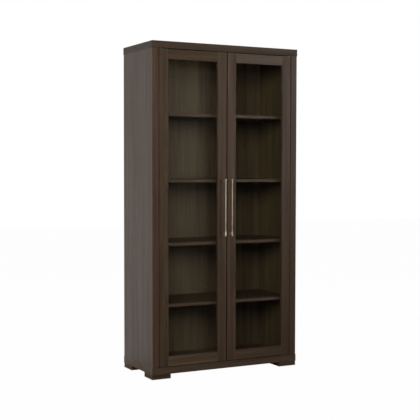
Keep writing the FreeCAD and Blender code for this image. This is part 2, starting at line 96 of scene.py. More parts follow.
class WoodFinish(PropertyGroup):
    """Stain, figure and lacquer of the oak veneer"""
    stain: colour("Stain", "Stained wood between the rings", (0.078, 0.048, 0.030))
    ring: colour("Ring", "Open early wood", (0.040, 0.024, 0.014))
    pore: colour("Pore", "Bottom of the pores", (0.012, 0.007, 0.004))
    worn: colour("Worn Edge", "Wood where an edge has been handled", (0.120, 0.072, 0.042))
    dust: colour("Dust", "Film on what faces up", (0.30, 0.28, 0.25))
    ring_width: length("Ring Width", "One year's growth across the grain", 0.0030)
    leaf_width: length("Leaf Width", "One veneer leaf on a wide panel", 0.281)
    streaks: amount("Streaks", "Swing of the tone from streak to streak", 0.85)
    sheen_roughness: amount("Lacquer Roughness", "Roughness of the satin lacquer", 0.46)
    specular: amount("Lacquer Specular", "Specular level of the satin lacquer", 0.15)
    wear_width: length("Wear Width", "Reach of the wear from an edge", 0.0016)


class MetalFinish(PropertyGroup):
    """Brass, steel, nylon and the dowels' beech"""
    brass: colour("Brass", "Satin brass of the pulls", (0.72, 0.62, 0.45))
    brass_dark: colour("Aged Brass", "Brass in its brushed lines", (0.47, 0.38, 0.25))
    brass_roughness: amount("Brass Roughness", "Roughness of the brushed brass", 0.49)
    steel: colour("Steel", "Zinc-plated steel", (0.58, 0.58, 0.56))
    steel_roughness: amount("Steel Roughness", "Roughness of the plating", 0.34)
    nylon: colour("Nylon", "Black moulded nylon", (0.018, 0.018, 0.019))
    beech: colour("Beech", "Pale beech of the dowels", (0.55, 0.37, 0.21))


class GlassFinish(PropertyGroup):
    """Clear float glass"""
    tint: colour("Tint", "What the glass lets through", (0.975, 0.985, 0.978))
    smudge: amount("Smudge", "Roughness of the haze left by wiping", 0.035)


class PullSizes(PropertyGroup):
    """Details of the two bar pulls"""
    rim: length("Rim Radius", "Rounding of the turned rims", 0.0008)
    foot_flare: length("Foot Flare", "Flare of each post where it meets the door", 0.0009)
    segments: setting(IntProperty, "Segments", "Facets round a turned piece", 48, min=12, max=96)


class StudioLight(PropertyGroup):
    """Lamps, world and floor"""
    key_power: power("Key Power", "Power of the key lamp", 19.5)
    key_spread: angle("Key Spread", "How widely its light fans out", math.radians(80.0))
    fill_power: power("Fill Power", "Power of the lamp at the front left", 48.0)
    fill_spread: angle("Fill Spread", "How widely its light fans out", math.radians(110.0))
    left_power: power("Left Power", "Power of the lamp on the left", 92.0)
    behind_power: power("Behind Power", "Power of the lamp behind the case", 60.0)
    ambient: amount("Ambient", "Strength of the even light from all around", 0.02)
    room: amount("Room", "Brightness of the room in front, as gloss shows it", 0.01)
    cyclorama: amount("Cyclorama", "Brightness of the wall behind, as gloss shows it", 1.0)
    floor: colour("Floor", "Colour of the pale floor", (0.80, 0.80, 0.80))
    floor_glow: amount("Floor Glow", "Share of plain white in the floor that is seen", 0.985)


SETTINGS = {
    "bookcase_wood": WoodFinish,
    "bookcase_metal": MetalFinish,
    "bookcase_glass": GlassFinish,
    "bookcase_pull": PullSizes,
    "bookcase_studio": StudioLight,
}


# ---- nodes
class Flow:
    """An output in a node tree. Arithmetic on flows adds Math or Vector Math nodes."""

    def __init__(self, socket):
        self.socket = socket
        self.tree = socket.id_data

    def __add__(self, other):
        return calc("ADD", self, other)

    def __sub__(self, other):
        return calc("SUBTRACT", self, other)

    def __mul__(self, other):
        return calc("MULTIPLY", self, other)

    def __truediv__(self, other):
        return calc("DIVIDE", self, other)

    def __abs__(self):
        return calc("ABSOLUTE", self)

    def mul_add(self, factor, more):
        return calc("MULTIPLY_ADD", self, factor, more)


def put(socket, value):
    """Link a flow to a socket, or set the socket's plain value."""
    if isinstance(value, Flow):
        value.tree.links.new(value.socket, socket)
    else:
        socket.default_value = value


def add_node(kind, values, tree=None, **settings):
    """A node in the tree of the flows among its values, or in the tree that is given."""
    if tree is None:
        tree = next(value.tree for value in values.values() if isinstance(value, Flow))
    made = tree.nodes.new(kind)
    for name, value in settings.items():
        setattr(made, name, value)
    for name, value in values.items():
        put(made.inputs[name], value)
    return made


def flows(node):
    """A node's outputs by name."""
    return {socket.name: Flow(socket) for socket in node.outputs}


def flow(kind, values, output=0, **settings):
    """One output of a new node."""
    return Flow(add_node(kind, values, **settings).outputs[output])


def source(tree, kind, output):
    """One output of a node that takes no input."""
    return Flow(tree.nodes.new(kind).outputs[output])


def calc(operation, *values):
    """A Math node's output, or a Vector Math node's if the first flow is a vector or a colour."""
    first = next(value for value in values if isinstance(value, Flow))
    kind = "ShaderNodeVectorMath" if first.socket.type in ("VECTOR", "RGBA") else "ShaderNodeMath"
    return flow(kind, dict(enumerate(values)), operation=operation)


def rgba(values):
    return (*values, 1.0)


def mix_colour(factor, first, second, blend="MIX"):
    """A Mix node's output. A plain colour has three channels."""
    first, second = (item if isinstance(item, Flow) else rgba(item) for item in (first, second))
    return flow("ShaderNodeMix", {0: factor, 6: first, 7: second}, 2, data_type="RGBA", blend_type=blend)


def ramp(value, low, high, to_low=0.0, to_high=1.0, style="SMOOTHSTEP"):
    """A Map Range node's output."""
    return flow("ShaderNodeMapRange", {0: value, 1: low, 2: high, 3: to_low, 4: to_high},
                interpolation_type=style)


def noise(vector, scale, detail=2.0, roughness=0.5):
    """Noise of one scale, or of a scale for each axis."""
    if not isinstance(scale, float):
        vector, scale = vector * scale, 1.0
    values = {"Vector": vector, "Scale": scale, "Detail": detail, "Roughness": roughness}
    return flow("ShaderNodeTexNoise", values)


def noise_along(value):
    """Smooth noise that depends on one number."""
    return flow("ShaderNodeTexNoise", {"W": value, "Scale": 1.0, "Detail": 1.0}, noise_dimensions="1D")


def split(vector):
    return list(flows(add_node("ShaderNodeSeparateXYZ", {"Vector": vector})).values())


def join(x, y, z):
    return flow("ShaderNodeCombineXYZ", {"X": x, "Y": y, "Z": z})


def normal(tree):
    """The three parts of the surface's normal."""
    return split(source(tree, "ShaderNodeNewGeometry", "Normal"))


# ---- shared effects
def figure_effect(grain, leaf_width, heart, depth, taper, wander, ring_width, seed):
    """Figure of a sliced log: X across the leaf, Y into the board, Z along the grain, in metres."""
    across, into, along = split(grain)
    leaf_place = across / leaf_width
    leaf = calc("FLOOR", leaf_place)
    in_leaf = (calc("FRACT", leaf_place) - 0.5) * leaf_width
    chance = flow("ShaderNodeTexWhiteNoise", {"W": leaf + seed}, "Value", noise_dimensions="1D")
    slipped = along + chance * 0.09

    # the log's heart wanders slowly along the board, and its taper draws the rings out into arches
    slow = slipped * 1.7 + seed * 9.1
    rise = noise_along(slow) - 0.5
    sway = noise_along(slow + 37.0) - 0.5
    deep = rise.mul_add(wander, depth) + into
    beside = in_leaf - heart + sway * wander
    from_heart = calc("SQRT", beside * beside + deep * deep)

    seeded = grain + join(seed, seed, seed * 3.0)
    wobble = noise(seeded, (60.0, 60.0, 7.0))
    reach = slipped.mul_add(taper, from_heart)
    rings = wobble.mul_add(0.0016, reach) / ring_width
    uneven = noise_along(rings.mul_add(0.42, seed))
    year = calc("FRACT", uneven.mul_add(1.6, rings))
    early = calc("POWER", calc("SUBTRACT", 1.0, year), 2.2) * ramp(year, 0.0, 0.14)

    vessels = noise(seeded, (1900.0, 1900.0, 75.0), 1.0)
    patches = noise(seeded, (34.0, 34.0, 1.3), 3.0, 0.6)
    crown = deep / from_heart
    return {"Ring": early,
            "Pore": ramp(vessels, 0.56, 0.70) * early.mul_add(0.8, 0.2),
            "Fibre": noise(seeded, (620.0, 620.0, 11.0), 3.0, 0.6),
            "Tone": crown.mul_add(-0.16, chance.mul_add(0.06, patches))}


def wear_effect(place, middle, half, width):
    """Mask along the edges of a squared piece, from its middle and half its size."""
    x, y, z = split(abs(place - middle) - half)
    # the second nearest pair of faces says how far the nearest edge is
    second = calc("MAXIMUM", calc("MINIMUM", x, y), calc("MINIMUM", calc("MAXIMUM", x, y), z))
    rubbed = noise(place, 38.0, 3.0, 0.6)
    reach = width * ramp(rubbed, 0.35, 0.7, 0.25, 1.3)
    return {"Wear": ramp(second * -1.0 / reach, 0.25, 1.0, 1.0, 0.0)}


def dust_effect(place, up):
    """A thin film of dust on what faces up, and the faint cloudiness of a wiped surface."""
    specks = noise(place, 900.0)
    drift = noise(place, 9.0, 3.0)
    film = drift * 0.6 + ramp(specks, 0.52, 0.66) * 0.4
    return {"Dust": ramp(up, 0.6, 0.95) * film,
            "Wiping": noise(place, (5.0, 5.0, 3.0), 4.0, 0.6)}


def brushing_effect(place, across):
    """Fine lines of a brushed or drawn metal, and the tarnish between them."""
    return {"Line": noise(place, across, 2.0, 0.6),
            "Tarnish": noise(place, 55.0, 4.0, 0.6)}


ORIGIN = (0.0, 0.0, 0.0)
EVEN = (1.0, 1.0, 1.0)
BRUSHED_UP = (9000.0, 9000.0, 60.0)        # scale of the lines of a bar brushed along Z
BRUSHED_OUT = (9000.0, 60.0, 9000.0)       # and along Y
DRAWN_ACROSS = (200.0, 6000.0, 6000.0)     # of a plate drawn along X
MOTTLED = (3000.0, 3000.0, 3000.0)         # of plating with no direction
EFFECTS = {          # a group's name: its inputs with their defaults, and what builds it
    "Sliced oak figure": ({"Grain": ORIGIN, "Leaf Width": 0.24, "Heart": 0.0, "Depth": 0.05, "Taper": 0.05,
                           "Wander": 0.02, "Ring Width": 0.003, "Seed": 0.0}, figure_effect),
    "Edge wear": ({"Place": ORIGIN, "Middle": ORIGIN, "Half Size": EVEN, "Width": 0.002}, wear_effect),
    "Dust and wiping": ({"Place": ORIGIN, "Up": 0.0}, dust_effect),
    "Brushed metal": ({"Place": ORIGIN, "Across": BRUSHED_UP}, brushing_effect),
}


def new_group(name, inputs, build):
    """A shader node group. build takes a flow for each input, and returns the outputs by name."""
    tree = bpy.data.node_groups.new(name, "ShaderNodeTree")
    for label, default in inputs.items():
        kind = "NodeSocketVector" if isinstance(default, tuple) else "NodeSocketFloat"
        tree.interface.new_socket(name=label, in_out="INPUT", socket_type=kind).default_value = default
    given = flows(tree.nodes.new("NodeGroupInput"))
    results = build(*(given[label] for label in inputs))
    for label in results:
        tree.interface.new_socket(name=label, in_out="OUTPUT", socket_type="NodeSocketFloat")
    add_node("NodeGroupOutput", results)
    return tree


def use_effect(name, values):
    """The outputs of a shared effect in a material. Its group is built the first time."""
    group = bpy.data.node_groups.get(name) or new_group(name, *EFFECTS[name])
    return flows(add_node("ShaderNodeGroup", values, node_tree=group))


# ---- materials
def new_material(name):
    """An empty material, and the object coordinates in it."""
    made = bpy.data.materials.new(name)
    made.use_nodes = True
    made.node_tree.nodes.clear()
    return made, source(made.node_tree, "ShaderNodeTexCoord", "Object")


def principled(values, relief=None, depth=0.0):
    """A Principled shader, with a bump of some depth from relief."""
    if relief:
        values["Normal"] = flow("ShaderNodeBump", {"Height": relief, "Distance": depth, "Strength": 1.0})
    return flow("ShaderNodeBsdfPrincipled", values)


def show(material, shader):
    """The material, with a shader as its surface."""
    add_node("ShaderNodeOutputMaterial", {"Surface": shader})
    return material


def beech():
    """Pale beech of the dowels, with short dark flecks along the grain."""
    pale = bpy.context.scene.bookcase_metal.beech
    made, place = new_material("Beech")
    flecks = noise(place, (1400.0, 1400.0, 260.0), 1.0)
    streaks = noise(place, (420.0, 420.0, 14.0), 3.0)
    dark = pale * 0.55
    base = mix_colour(ramp(streaks, 0.3, 0.7, 0.0, 0.5), pale, dark)
    base = mix_colour(ramp(flecks, 0.60, 0.72, 0.0, 0.6), base, dark)
    gloss = ramp(streaks, 0.3, 0.7, 0.55, 0.68)
    return show(made, principled({"Base Color": base, "Roughness": gloss}, flecks, 0.1 * MM))


def brass(name, across=BRUSHED_UP, heights=(0.0, 1.0), painted_shades=(1.0, 1.0)):
    """Satin brass with painted shade: its colour goes from the first factor to the second between two
    heights, evening out the lamp's highlight along a pull.
    """
    metal = bpy.context.scene.bookcase_metal
    made, place = new_material(name)
    lines = use_effect("Brushed metal", {"Place": place, "Across": across})
    film = use_effect("Dust and wiping", {"Place": place, "Up": 0.0})
    base = mix_colour(ramp(lines["Tarnish"], 0.42, 0.75, 0.0, 0.45), metal.brass, metal.brass_dark)
    base = mix_colour(ramp(lines["Line"], 0.55, 0.80, 0.0, 0.30), base, metal.brass_dark)
    # painted shade: the brass colour is scaled between the two heights, standing in for an even highlight
    shade = ramp(split(place)[2], *heights, *painted_shades)
    gloss = lines["Line"].mul_add(0.16, metal.brass_roughness - 0.08)
    return show(made, principled({"Base Color": base * join(shade, shade, shade), "Metallic": 1.0,
                                  "Roughness": film["Wiping"].mul_add(0.10, gloss)},
                                 lines["Line"], 0.02 * MM))


def steel(name, across=MOTTLED, shade=1.0):
    """Zinc-plated steel, with the soft mottling of the plating."""
    metal = bpy.context.scene.bookcase_metal
    made, place = new_material(name)
    lines = use_effect("Brushed metal", {"Place": place, "Across": across})
    bright = metal.steel * shade
    base = mix_colour(ramp(lines["Tarnish"], 0.35, 0.7, 0.0, 0.5), bright, bright * 0.6)
    gloss = lines["Line"].mul_add(0.2, metal.steel_roughness - 0.1)
    return show(made, principled({"Base Color": base, "Metallic": 1.0,
                                  "Roughness": lines["Tarnish"].mul_add(0.15, gloss)},
                                 lines["Line"], 0.02 * MM))


def nylon(name):
    """Black moulded nylon with a fine spark-eroded texture and a scuffed film."""
    black = bpy.context.scene.bookcase_metal.nylon
    made, place = new_material(name)
    grit = noise(place, 2600.0)
    scuff = noise(place, 120.0, 4.0, 0.7)
    base = mix_colour(ramp(scuff, 0.50, 0.75, 0.0, 0.6), black, [channel * 2.6 + 0.01 for channel in black])
    gloss = ramp(scuff, 0.3, 0.7, 0.42, 0.58)
    return show(made, principled({"Base Color": base, "Roughness": gloss}, grit, 0.05 * MM))


def clear_glass():
    """Float glass that lets the lamps' light through, which a bent ray alone wouldn't."""
    glass = bpy.context.scene.bookcase_glass
    made, place = new_material("Clear glass")
    film = use_effect("Dust and wiping", {"Place": place, "Up": 0.0})
    solid = principled({"Base Color": rgba(glass.tint), "Transmission Weight": 1.0, "IOR": 1.5,
                        "Roughness": ramp(film["Wiping"], 0.45, 0.75, 0.0, glass.smudge)})
    open_glass = flow("ShaderNodeBsdfTransparent", {"Color": rgba(glass.tint)}, tree=place.tree)
    rays = flows(place.tree.nodes.new("ShaderNodeLightPath"))
    through = calc("MAXIMUM", rays["Is Shadow Ray"], rays["Is Diffuse Ray"])
    return show(made, flow("ShaderNodeMixShader", {0: through, 1: solid, 2: open_glass}))


def finish_node(node, material):
    """Give a CAD node its material."""
    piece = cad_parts[node]
    if not piece.material_slots:
        raise RuntimeError(f"{node} has no material slot")
    for slot in piece.material_slots:
        slot.material = material


# ---- meshes
SMOOTH_ANGLE = math.radians(32)
SHARP = 0.5                  # turn between two faces, in radians, past which their edge is bevelled


def turned(profile, segments):
    """A piece turned about Z from (radius, height) points, closed where they reach the axis."""
    made = bmesh.new()
    points = [made.verts.new((radius, 0.0, height)) for radius, height in profile]
    edges = [made.edges.new(pair) for pair in zip(points, points[1:])]
    bmesh.ops.spin(made, geom=points + edges, cent=ORIGIN, axis=Z, angle=math.tau, steps=segments,
                   use_merge=True)
    bmesh.ops.remove_doubles(made, verts=made.verts, dist=1e-7)
    bmesh.ops.recalc_face_normals(made, faces=made.faces)
    return made


def rounded(corner, radius, start, end, steps=3):
    """Points of a small quarter round at a profile's corner, between the turns start and end."""
    cx, cz = corner
    turns = [math.radians(start + (end - start) * step / steps) for step in range(steps + 1)]
    return [(cx + radius * math.cos(turn), cz + radius * math.sin(turn)) for turn in turns]


def outer_wall(radius, half, rim):
    """Profile of a cylinder's wall with both its rims rounded."""
    return (rounded((radius - rim, -half + rim), rim, -90, 0)
            + rounded((radius - rim, half - rim), rim, 0, 90))


def soften(made, width, segments=2, wanted=None):
    """Bevel the edges that wanted picks, or all sharp ones."""
    made.normal_update()
    picked = [edge for edge in made.edges
              if len(edge.link_faces) == 2 and edge.calc_face_angle() > SHARP
              and (wanted is None or wanted(edge))]
    bmesh.ops.bevel(made, geom=picked, offset=width, affect="EDGES", segments=segments, profile=0.5,
                    clamp_overlap=True)
    return made


def squared(low, high):
    """A box between two corners."""
    made = bmesh.new()
    bmesh.ops.create_cube(made, size=1.0)
    bmesh.ops.scale(made, verts=made.verts, vec=high - low)
    bmesh.ops.translate(made, verts=made.verts, vec=(low + high) / 2)
    return made


def placed(made, point, way=Z, spin=0.0):
    """The same bmesh, spun about its own +Z, with +Z carried to way and its origin to point."""
    turn = Z.rotation_difference(way).to_matrix().to_4x4() @ Matrix.Rotation(spin, 4, "Z")
    bmesh.ops.transform(made, matrix=Matrix.Translation(point) @ turn, verts=made.verts)
    return made


def to_mesh(name, made):
    """A mesh of a bmesh, which is freed."""
    mesh = bpy.data.meshes.new(name)
    made.to_mesh(mesh)
    made.free()
    return mesh


def merged(parts):
    """One bmesh of several, which are freed."""
    whole = bmesh.new()
    for part in parts:
        held = to_mesh("held", part)
        whole.from_mesh(held)
        bpy.data.meshes.remove(held)
    return whole


def each_solid(node, shape, *sizes):
    """One bmesh of shape(low, high, *sizes) for each solid of a CAD node."""
    return merged(shape(low, high, *sizes) for low, high in solids(node))


def add_object(name, data):
    made = bpy.data.objects.new(name, data)
    bpy.context.scene.collection.objects.link(made)
    return made


def new_piece(name, made, material, body, slot, *nodes):
    """Make a bmesh a finished piece that rides on body and stands for nodes."""
    mesh = to_mesh(name, made)
    mesh.materials.append(material)
    mesh.shade_smooth()
    mesh.set_sharp_from_angle(angle=SMOOTH_ANGLE)
    piece = add_object(name, mesh)
    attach(piece, body)
    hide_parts(*nodes)


def solids(node):
    """(low, high) of each separate solid in a CAD node, from a merged copy of its mesh."""
    copy = bmesh.new()
    copy.from_mesh(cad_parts[node].data)
    bmesh.ops.remove_doubles(copy, verts=copy.verts, dist=1e-6)
    boxes = []
    unseen = set(copy.verts)
    while unseen:
        island = set()
        front = {unseen.pop()}
        while front:
            island |= front
            front = {edge.other_vert(vert) for vert in front for edge in vert.link_edges} - island
        unseen -= island
        places = list(zip(*(vert.co for vert in island)))
        boxes.append((Vector(map(min, places)), Vector(map(max, places))))
    copy.free()
    return sorted(boxes, key=lambda box: [round(value, 4) for value in box[0]])


# ---- wood
TOUCHING = 0.2 * MM          # how near a face is to a plane that it lies on
PAINTED_LIGHT_RANGE = (-0.13, -0.03)  # heights from the top board over which the painted light on the back panel grows, standing in for light where the top rail shades it
PAINTED_LIGHT_SHARE = 0.135           # share of its painted light tint below them, which lightens the rest of the case's inside
LOW_WALLS = ("left_side_panel", "left_front_post", "base_board")      # of the case's inside, by axis
HIGH_WALLS = ("right_side_panel", "back_panel", "top_board")


def past_box(place, low, high):
    """How far place is past the faces of a box, less than 0 inside it."""
    x, y, z = split(abs(place - (low + high) / 2) - (high - low) / 2)
    return calc("MAXIMUM", calc("MAXIMUM", x, y), z)


def in_cavity(place):
    """1 on the faces that look into the case."""
    low = Vector([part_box(node)[1][axis] for axis, node in enumerate(LOW_WALLS)])
    high = Vector([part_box(node)[0][axis] for axis, node in enumerate(HIGH_WALLS)])
    return calc("LESS_THAN", past_box(place, low, high), TOUCHING)


def painted_light_at_top(place):
    """1 at the top of the case's inside, and a small share from a little below it down: painted light that
    fills the top rail's shadow on the back panel.
    """
    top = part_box("top_board")[0].z
    start, end = (top + height for height in PAINTED_LIGHT_RANGE)
    height = split(place)[2]
    return in_cavity(place) * ramp(height, start, end, PAINTED_LIGHT_SHARE, 1.0)


def door_gap_shade(place):
    """1 on the two edges where the doors meet, which are painted dark as shade in the gap between the
    doors.
    """
    half_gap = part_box("right_door_meeting_stile")[0].x
    return calc("LESS_THAN", abs(split(place)[0]), half_gap + TOUCHING)


def square_to(axis):
    """A mask that is 1 on the faces square to the axis numbered 0 to 2."""
    return lambda place: calc("GREATER_THAN", abs(normal(place.tree)[axis]), 0.7)


def strip_is_level(place, middle, half):
    """1 on the level strips of a mitred frame, 0 on its upright ones."""
    x, _, z = split(abs(place - middle))
    return calc("GREATER_THAN", z - half.z, x - half.x)


WIDE_PANELS = {      # node: across, along, where its painted light and shade tint goes, middle of a leaf, depth, taper
    "left_side_panel": (Y, Z, in_cavity, 0.05, 0.060, 0.080),
    "right_side_panel": (Y, Z, in_cavity, -0.04, 0.055, -0.090),
    "back_panel": (X, Z, painted_light_at_top, 0.076, 0.060, -0.105),
    "top_board": (Y, X, square_to(0), 0.02, 0.060, 0.070),
    "base_board": (Y, X, in_cavity, -0.05, 0.062, -0.080),
    "shelf_1": (Y, X, square_to(2), 0.00, 0.058, 0.080),
    "shelf_2": (Y, X, square_to(2), 0.07, 0.055, -0.070),
    "shelf_3": (Y, X, square_to(2), -0.06, 0.060, 0.090),
    "shelf_4": (Y, X, square_to(2), 0.03, 0.056, -0.080),
}
UPRIGHT_STRIPS = ("front_post", "door_hinge_stile", "door_meeting_stile")
LEVEL_STRIPS = ("door_top_rail", "door_bottom_rail", "front_foot", "back_foot")
BEAD_NUMBER = 40             # past the numbers of the other pieces
# painted shade: the doors' meeting edges are darkened so the gap between the doors reads as shaded
MEETING_GAP_SHADE = (0.22, 0.20, 0.18)
# painted shade: the shelves' top and bottom faces are darkened below what the lamps give them
SHELF_FACE_SHADE = (0.72, 0.70, 0.62)
PLAIN = (EVEN, 1.0, EVEN)    # tint of the stain, share of the lacquer's sheen, tint of painted light and shade on the faces a mask picks
BOARDS = {           # the same for some nodes, as far as they differ from PLAIN
    # painted light: the inner tints of the side and back panels lighten the faces inside the case, standing
    # in for light that the lamps don't bring in
    "left_side_panel": ((0.64, 0.66, 0.66), 1.4, (1.80, 1.95, 1.60)),
    "right_side_panel": ((0.85, 0.85, 0.85), 1.2, (1.80, 2.05, 1.50)),
    "back_panel": ((1.00, 1.08, 0.97), 1.1, (3.00, 3.33, 2.78)),
    # painted shade: the top board's inner tint darkens its two ends, which square_to(0) picks
    "top_board": ((0.84, 0.87, 0.82), 1.0, (0.40, 0.38, 0.32)),
    "base_board": ((1.00, 1.06, 1.09),),
    "shelf_1": ((0.92, 0.92, 0.90), 1.0, SHELF_FACE_SHADE),
    "shelf_2": ((0.98, 0.98, 0.96), 1.0, SHELF_FACE_SHADE),
    "shelf_3": ((1.04, 1.04, 1.02), 1.0, SHELF_FACE_SHADE),
    "shelf_4": ((1.14, 1.14, 1.12), 1.0, SHELF_FACE_SHADE),
    "left_front_post": ((1.07, 0.93, 0.97),),
    "right_front_post": ((0.92, 0.94, 0.90),),
    "left_front_foot": ((0.76, 0.83, 0.80),),
    "left_door_hinge_stile": ((1.10, 1.10, 0.98),),
    "left_door_top_rail": ((0.96, 0.97, 0.88), 0.75),
    "left_door_bottom_rail": ((1.33, 1.37, 1.27), 1.2),
    "left_door_meeting_stile": ((1.03, 1.03, 1.01), 1.0, MEETING_GAP_SHADE),
    "right_door_meeting_stile": ((1.05, 1.05, 1.02), 1.15, MEETING_GAP_SHADE),
    "right_door_bottom_rail": ((1.10, 1.12, 1.06),),
    "right_door_top_rail": ((1.06, 1.08, 1.04), 1.8),
    "right_door_hinge_stile": ((0.90, 0.90, 0.88), 1.15),
}
GOLDEN = 0.61803             # step between the slices of log that the boards are cut from
LOG = 40.0                   # reach of their seeds
WHOLE = 10.0                 # leaf wider than any piece, for wood that isn't in leaves
MEAN_TONE = 1.14             # of the stain between its darkest and its palest streaks


def grain_space(place, middle, across, along, shift):
    """Place turned so that X is across the grain and Z along it, from the middle of the piece."""
    axes = Matrix((across, along.cross(across), along))
    return flow("ShaderNodeMapping", {"Vector": place, "Rotation": axes.to_euler(),
                                      "Location": Vector((shift, 0.0, 0.0)) - axes @ middle})


def oak(node, number, across, along, inside=in_cavity, leaf_middle=0.0, depth=0.05, taper=0.05,
        leaf=WHOLE, heart=0.0, wander=0.02, second_grain=None):
    """Give a squared CAD node stained oak, from the slice of log that has this number.

    The painted light and shade tint goes where the mask inside is 1, lightening or darkening those faces as
    light and shade would, and the grain turns where second_grain is 1.
    """
    row = BOARDS.get(node, ())
    tint, sheen, painted_light_shade_tint = row + PLAIN[len(row):]
    wood = bpy.context.scene.bookcase_wood
    made, place = new_material("Oak " + node)
    low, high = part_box(node)
    middle = (low + high) / 2
    half = (high - low) / 2
    shift = leaf / 2 - leaf_middle
    grain = grain_space(place, middle, across, along, shift)
    if second_grain:
        crossed = grain_space(place, middle, along, across, shift)
        grain = flow("ShaderNodeMix", {0: second_grain(place, middle, half), 4: grain, 5: crossed}, 1,
                     data_type="VECTOR")
    figure = use_effect("Sliced oak figure", {
        "Grain": grain, "Leaf Width": leaf, "Heart": heart, "Depth": depth, "Taper": taper,
        "Wander": wander, "Ring Width": wood.ring_width, "Seed": number * GOLDEN % 1.0 * LOG})
    wear = use_effect("Edge wear", {"Place": place, "Middle": middle, "Half Size": half,
                                    "Width": wood.wear_width})["Wear"]
    film = use_effect("Dust and wiping", {"Place": place, "Up": normal(place.tree)[2]})

    stain = Vector(wood.stain) * Vector(tint)
    early = Vector(wood.ring) * Vector(tint)
    dark, pale = (stain * (MEAN_TONE + swing / 2) for swing in (-wood.streaks, wood.streaks))
    base = mix_colour(ramp(figure["Tone"], 0.17, 0.63, style="LINEAR"), dark, pale)
    base = mix_colour(figure["Ring"] * 0.75, base, early)
    base = mix_colour(ramp(figure["Fibre"], 0.35, 0.75) * 0.35, base, early)
    base = mix_colour(figure["Pore"] * 0.8, base, wood.pore)
    # painted light and shade: the faces that the mask picks are lightened or darkened to stand in for light
    # the lamps don't give them
    if painted_light_shade_tint != EVEN:
        base = mix_colour(inside(place), base, painted_light_shade_tint, blend="MULTIPLY")
    base = mix_colour(wear * 0.35, base, wood.worn)
    base = mix_colour(film["Dust"] * 0.035, base, wood.dust)

    gloss = film["Wiping"].mul_add(0.12, wood.sheen_roughness - 0.06)
    gloss = figure["Tone"].mul_add(-0.16, gloss + 0.06)
    gloss = figure["Pore"].mul_add(0.22, gloss)
    gloss = film["Dust"].mul_add(0.12, gloss)
    relief = figure["Pore"].mul_add(-1.0, figure["Fibre"] * 0.25)
    relief = figure["Ring"].mul_add(-0.15, relief)
    finish_node(node, show(made, principled({
        "Base Color": base, "Roughness": wear.mul_add(-0.08, gloss),
        "Specular IOR Level": wood.specular * sheen}, relief, 0.12 * MM)))


class BOOKCASE_OT_case_boards(Operator):
    """Veneer the sides, the back, the top, the base and the shelves"""
    bl_idname = "bookcase.case_boards"
    bl_label = "Case Boards"

    def execute(self, context):
        leaf = context.scene.bookcase_wood.leaf_width
        for number, (node, row) in enumerate(WIDE_PANELS.items()):
            oak(node, number + 1, *row, leaf=leaf)
        return {"FINISHED"}


class BOOKCASE_OT_solid_strips(Operator):
    """Finish the posts, the feet, the door frames and their beads with straight-grained oak"""
    bl_idname = "bookcase.solid_strips"
    bl_label = "Posts, Feet, Door Frames and Beads"

    def execute(self, context):
        number = len(WIDE_PANELS) + 1
        for names, across, along in ((UPRIGHT_STRIPS, X, Z), (LEVEL_STRIPS, Z, X)):
            for name in names:
                for side in SIDES:
                    number += 1
                    oak(f"{side}_{name}", number, across, along, door_gap_shade, taper=0.012,
                        heart=0.045 + 0.030 * math.sin(number * 2.3), wander=0.008)
        for number, side in enumerate(SIDES):
            oak(f"{side}_door_glass_beads", BEAD_NUMBER + number, X, Z, heart=0.03, taper=0.01,
                wander=0.006, second_grain=strip_is_level)
        return {"FINISHED"}


DOWEL_LEAD = 1.2 * MM        # chamfer at a dowel's ends
DOWEL_FACETS = 32            # every second one is a flute
FLUTE = 0.95                 # share of the radius at the bottom of a flute


def dowel(low, high):
    radius = (high.y - low.y) / 2
    half = (high.z - low.z) / 2
    made = turned([(0.0, -half), (radius - DOWEL_LEAD, -half), (radius, -half + DOWEL_LEAD),
                   (radius, half - DOWEL_LEAD), (radius - DOWEL_LEAD, half), (0.0, half)], DOWEL_FACETS)
    for vert in made.verts:
        turn = math.atan2(vert.co.y, vert.co.x)
        if vert.co.xy.length > radius / 2 and round(turn / (math.tau / DOWEL_FACETS)) % 2:
            vert.co.xy *= FLUTE
    return placed(made, (low + high) / 2)


class BOOKCASE_OT_dowels(Operator):
    """Turn the fluted beech dowels that join the boards"""
    bl_idname = "bookcase.dowels"
    bl_label = "Dowels"

    def execute(self, context):
        new_piece("fluted_dowels", each_solid("carcass_dowels", dowel), beech(), "carcass", "pale_beech",
                  "carcass_dowels")
        return {"FINISHED"}


# ---- glass
class BOOKCASE_OT_panes(Operator):
    """Give both panes clear glass"""
    bl_idname = "bookcase.panes"
    bl_label = "Glass Panes"

    def execute(self, context):
        glass = clear_glass()
        for side in SIDES:
            finish_node(f"{side}_door_glass", glass)
        return {"FINISHED"}


# ---- pulls
# painted shade: the pulls' brass is lighter at the bottom and darker at the top, evening out the lamp's
# highlight
BAR_PAINTED_SHADES = (1.08, 0.74)
SLEEVE_PAINTED_SHADES = (1.36, 0.86)
FLARE_START = 0.4 * MM       # straight part of a post below its flare


def pull_pieces(part, shape, painted_shades=(1.0, 1.0), across=BRUSHED_UP):
    """One kind of piece of both pulls, its brass given painted shade over the height of the bar."""
    for side in SIDES:
        node = f"{side}_door_handle_{part}"
        low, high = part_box(f"{side}_door_handle_bar")
        made = each_solid(node, shape, (high.x - low.x) / 2, bpy.context.scene.bookcase_pull)
        metal = brass(f"Brass {side} {part}", across, (low.z, high.z), painted_shades)
        new_piece(f"{side}_pull_{part}", made, metal, f"{side}_door", "satin_brass", node)


def bar(low, high, radius, pull):
    half = (high.z - low.z) / 2
    profile = [(0.0, -half)] + outer_wall(radius, half, pull.rim) + [(0.0, half)]
    return placed(turned(profile, pull.segments), (low + high) / 2)


def sleeve(low, high, bore, pull):
    half = (high.z - low.z) / 2
    ease = pull.rim / 2
    profile = [(bore, -half + ease), (bore + ease, -half)]
    profile += outer_wall((high.x - low.x) / 2, half, pull.rim)
    profile += [(bore + ease, half), (bore, half - ease), (bore, -half + ease)]
    return placed(turned(profile, pull.segments), (low + high) / 2)


